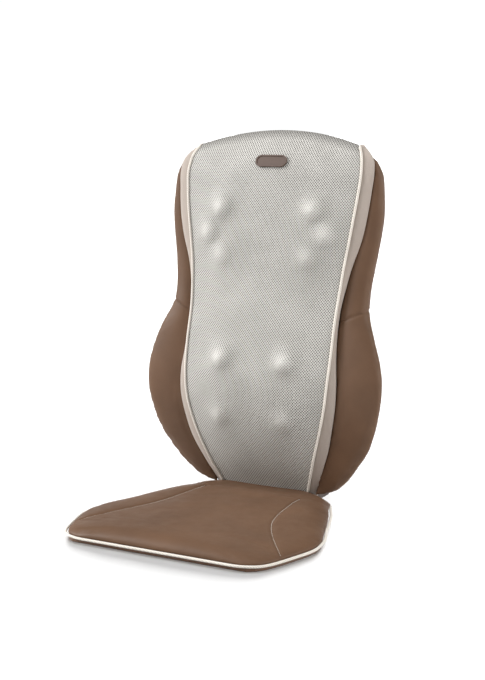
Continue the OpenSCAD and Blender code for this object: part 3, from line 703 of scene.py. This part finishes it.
# ------------------------------------------------------------------ seat pad
def seat_height(x, y):
    """Height of the pad's top: low crown, seam channels, raised side bolsters."""
    half = smooth(y, SEAT_HW) - .001
    u = np.clip(np.abs(x) / half, 0, 1)
    v = np.clip((y - SEAT_FRONT) / (SEAT_REAR - SEAT_FRONT), 0, 1)
    ahead, behind = np.clip(1 - 2 * v, 0, 1), np.clip(2 * v - 1, 0, 1)
    edge = np.clip(1 - u**4, 0, 1) * (1 - ahead**20) * (1 - .45 * behind**12)
    top = SEAT_EDGE_Z + (SEAT_TOP - SEAT_EDGE_Z) * edge**.6 * (.84 + .16 * (1 - u**2))
    off = np.abs(x) - smooth(y, SEAT_SEAM)
    fade = np.clip((y - SEAT_SEAM_END) / .05, 0, 1)
    bolster = .0014 * np.clip(off / .012, 0, 1) * edge * fade
    channel = .0022 * np.exp(-(off / .0035)**2) * fade
    return top + bolster - channel * np.sqrt(edge)


def sewn_seat(co):
    """The seat's cover is held underneath, along its low edge and at its two seams."""
    to_side = smooth(co[:, 1], SEAT_HW) - np.abs(co[:, 0])
    to_end = np.minimum(co[:, 1] - SEAT_FRONT, SEAT_REAR - co[:, 1])
    under = co[:, 2] < .0085
    low_edge = (np.minimum(to_side, to_end) < .004) & (co[:, 2] < .013)
    to_seam = np.abs(np.abs(co[:, 0]) - smooth(co[:, 1], SEAT_SEAM))
    seam = np.clip(1 - (to_seam - .002) / .004, 0, 1) * (co[:, 1] > SEAT_SEAM[0][0])
    return np.maximum(seam, (under | low_edge) * 1.0)


def seat():
    """The seat's filled cushion, its two seams drawn in."""
    ys = SEAT_FRONT + (SEAT_REAR - SEAT_FRONT) * (1 - np.cos(np.linspace(0, math.pi, 90))) / 2
    us = np.sin(np.linspace(-math.pi / 2, math.pi / 2, 110))
    y = ys[:, None] + 0 * us[None, :]
    x = us[None, :] * (smooth(ys, SEAT_HW)[:, None] - .001)
    top = np.stack([x, y, seat_height(x, y)], axis=-1)
    low = np.stack([x * .985, y * .985, SEAT_UNDER_Z + 0 * x], axis=-1)
    pad = slab("seat_cushion", low, top, BROWN)
    remeshed(pad)
    inflate(pad, sewn_seat, pressure=3.0, cap=.0045)
    smoothed(pad)
    co = points_of(pad)
    off = np.abs(co[:, 0]) - smooth(co[:, 1], SEAT_SEAM)
    on_top = (co[:, 2] > .014) & (co[:, 1] > SEAT_SEAM_END)
    co[:, 2] -= .0016 * np.exp(-(off / .0022)**2) * on_top
    co[:, 2] = np.maximum(co[:, 2], SEAT_UNDER_Z - .0002)
    set_points(pad, co)
    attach(pad, "seat")
    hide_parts("seat_cover", "seat_foam")
    return pad


def drop_on(pad, points, direction):
    """Moves points along a direction until they lie on the pad."""
    bpy.context.view_layer.update()
    found = []
    for p in points:
        hit, place, _, _ = pad.ray_cast(Vector(p), Vector(direction))
        if hit:
            found.append(tuple(place))
    return found


def seat_piping():
    """The cord round the seat. It is drawn in behind the widest corners, where the pad is rounder."""
    ys = np.concatenate([np.linspace(.117, -.200, 96), np.linspace(-.203, -.2375, 14)])
    half = smooth(ys, SEAT_HW) - .45 * np.maximum(0, ys - SEAT_REAR)
    half -= .0030 * np.exp(-((ys + .090) / .022)**2)
    left = np.stack([half + .0016, ys, 0 * ys + SEAT_CORD_Z], axis=-1)
    xs = np.linspace(.1475, -.1475, 40)
    front = np.stack([xs, 0 * xs - .2402, 0 * xs + SEAT_CORD_Z], axis=-1)
    right = left[::-1] * np.array([-1, 1, 1])
    line = np.concatenate([left, front, right])
    for _ in range(3):
        line[1:-1] = (line[:-2] + 2 * line[1:-1] + line[2:]) / 4
    cord = tube("seat_edge_piping", line, PIPING_R, CREAM)
    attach(cord, "seat")
    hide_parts("seat_piping")


def seat_stitches(pad):
    for side, word in ((1, "left"), (-1, "right")):
        ys = np.linspace(.094, -.190, 120)
        above = [(side * float(smooth(y, SEAT_SEAM)), y, .08) for y in ys]
        row = stitches(f"seat_stitches_{word}", drop_on(pad, above, (0, 0, -1)), (0, 0, 1))
        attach(row, "seat")


def wing_stitches(side, word, pad):
    ahead = [(side * x, -.1, float(seam_height(x))) for x in np.linspace(.147, .186, 30)]
    row = stitches(f"wing_stitches_{word}", drop_on(pad, ahead, (0, 1, 0)), (0, -1, 0))
    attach(row, "backrest")
    # The thread matches the cover here.
    row.data.materials.clear()
    row.data.materials.append(BROWN)


def fold_gusset():
    """The cover cloth that joins the seat to the foot of the backrest."""
    us = np.linspace(-1, 1, 60)[None, :]
    share = np.linspace(0, 1, 22)[:, None]
    y = .0840 + share * .0520
    half = np.minimum(.1475 - .018 * share, .1010 + .062 * np.sqrt(1 - share))
    sag = .0012 * np.sin(share * math.pi) * (1 - us**2)
    z = .0250 - .0006 * share - sag - .0140 * np.abs(us)**7
    top = np.stack([us * half, y + 0 * us, z + 0 * us], axis=-1)
    gusset = slab("fold_gusset", top, top - np.array([0, 0, .0016]), BROWN)
    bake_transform(gusset)


# ------------------------------------------------------------------ straps, bevels
def straps():
    """Elastic webbing across the rear, stitched down at both ends."""
    for word in ("upper", "lower"):
        low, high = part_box(f"{word}_strap")
        x = np.linspace(low[0], high[0], 90)[None, :]
        z = np.linspace(low[2], high[2], 10)[:, None]
        ripple = .0006 * np.sin(x * 46) * np.cos((z - low[2]) * 60)
        y = low[1] + .0006 + ripple * (1 - (x / high[0])**4)
        inner = np.stack([x + 0 * z, y + 0 * z, z + 0 * x], axis=-1)
        band = slab(f"{word}_strap_webbing", inner, inner + np.array([0, .0014, 0]), NODE_FINISH["webbing"])
        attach(band, "backrest")
        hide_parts(f"{word}_strap")


def soften(node, width):
    """Rounds a moulding's sharp edges."""
    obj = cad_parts[node]
    bevel = obj.modifiers.new("edges", "BEVEL")
    bevel.width = width
    bevel.segments = 3
    bevel.limit_method = "ANGLE"
    bevel.angle_limit = math.radians(35)


roll_edge = mesh_panel()
for side, word in ((1, "left"), (-1, "right")):
    panel_trim(side, word)
    panel_piping(side, word)
    shoulder_cover(side, word, roll_edge)
    wing_stitches(side, word, wing(side, word))
seat_pad = seat()
seat_piping()
seat_stitches(seat_pad)
fold_gusset()
straps()
soften("badge", .0007)
soften("strap_buckles", .0012)
soften("rear_housing", .0015)


# ------------------------------------------------------------------ floor and light
def studio_floor():
    reach = 60
    corners = [(-reach, -reach, 0), (reach, -reach, 0), (reach, reach, 0), (-reach, reach, 0)]
    floor = piece("floor", corners, [(0, 1, 2, 3)], Shader("floor", (.95, .95, .95), .8).material)
    return floor


def studio_dome():
    """White round the horizon, and darker higher up, which leaves the suns to shape the object."""
    world = bpy.data.worlds.new("studio")
    world.use_nodes = True
    nodes, links = world.node_tree.nodes, world.node_tree.links
    height = nodes.new("ShaderNodeSeparateXYZ")
    links.new(nodes.new("ShaderNodeTexCoord").outputs["Generated"], height.inputs[0])
    dome = nodes.new("ShaderNodeMapRange")
    dome.interpolation_type = "SMOOTHSTEP"
    links.new(height.outputs["Z"], dome.inputs["Value"])
    for key, value in (("From Min", .09), ("From Max", .22), ("To Min", 1.02), ("To Max", .30)):
        dome.inputs[key].default_value = value
    background = nodes["Background"]
    background.inputs["Color"].default_value = (1, 1, 1, 1)
    links.new(dome.outputs[0], background.inputs["Strength"])
    scene.world = world


def collection_of(name, objects):
    group = bpy.data.collections.new(name)
    for obj in objects:
        group.objects.link(obj)
    return group


def soft_suns(floor):
    """Lights from both sides and from above, and two for the floor alone: a fill, and a low one that only the
    seat blocks, for its contact shadow."""
    all_but_floor = collection_of("all_but_floor", [floor])
    all_but_floor.collection_objects[0].light_linking.link_state = "EXCLUDE"
    only_floor = collection_of("only_floor", [floor])
    seat_only = collection_of("seat_only", [seat_pad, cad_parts["seat_base"]])
    # Each sun: name, the side it shines from, power, softness in degrees, what it lights, what blocks it.
    suns = [("key", (-1.8, -.8, 1.15), 3.5, 30, all_but_floor, None),
            ("rim", (2.0, .2, .9), 1.7, 30, all_but_floor, None),
            ("top", (.1, -.4, 2.0), .8, 60, None, None),
            ("floor_fill", (0, .9, 1.3), .4, 44, only_floor, None),
            ("low", (-.40, .90, .30), 5.5, 30, only_floor, seat_only)]
    for name, at, power, softness, receivers, blockers in suns:
        light = bpy.data.objects.new(name, bpy.data.lights.new(name, "SUN"))
        light.data.energy = power
        light.data.angle = math.radians(softness)
        light.location = at
        light.rotation_euler = (-Vector(at)).to_track_quat("-Z", "Y").to_euler()
        light.light_linking.receiver_collection = receivers
        light.light_linking.blocker_collection = blockers
        scene.collection.objects.link(light)


floor = studio_floor()
studio_dome()
soft_suns(floor)
scene.view_settings.view_transform = "Standard"
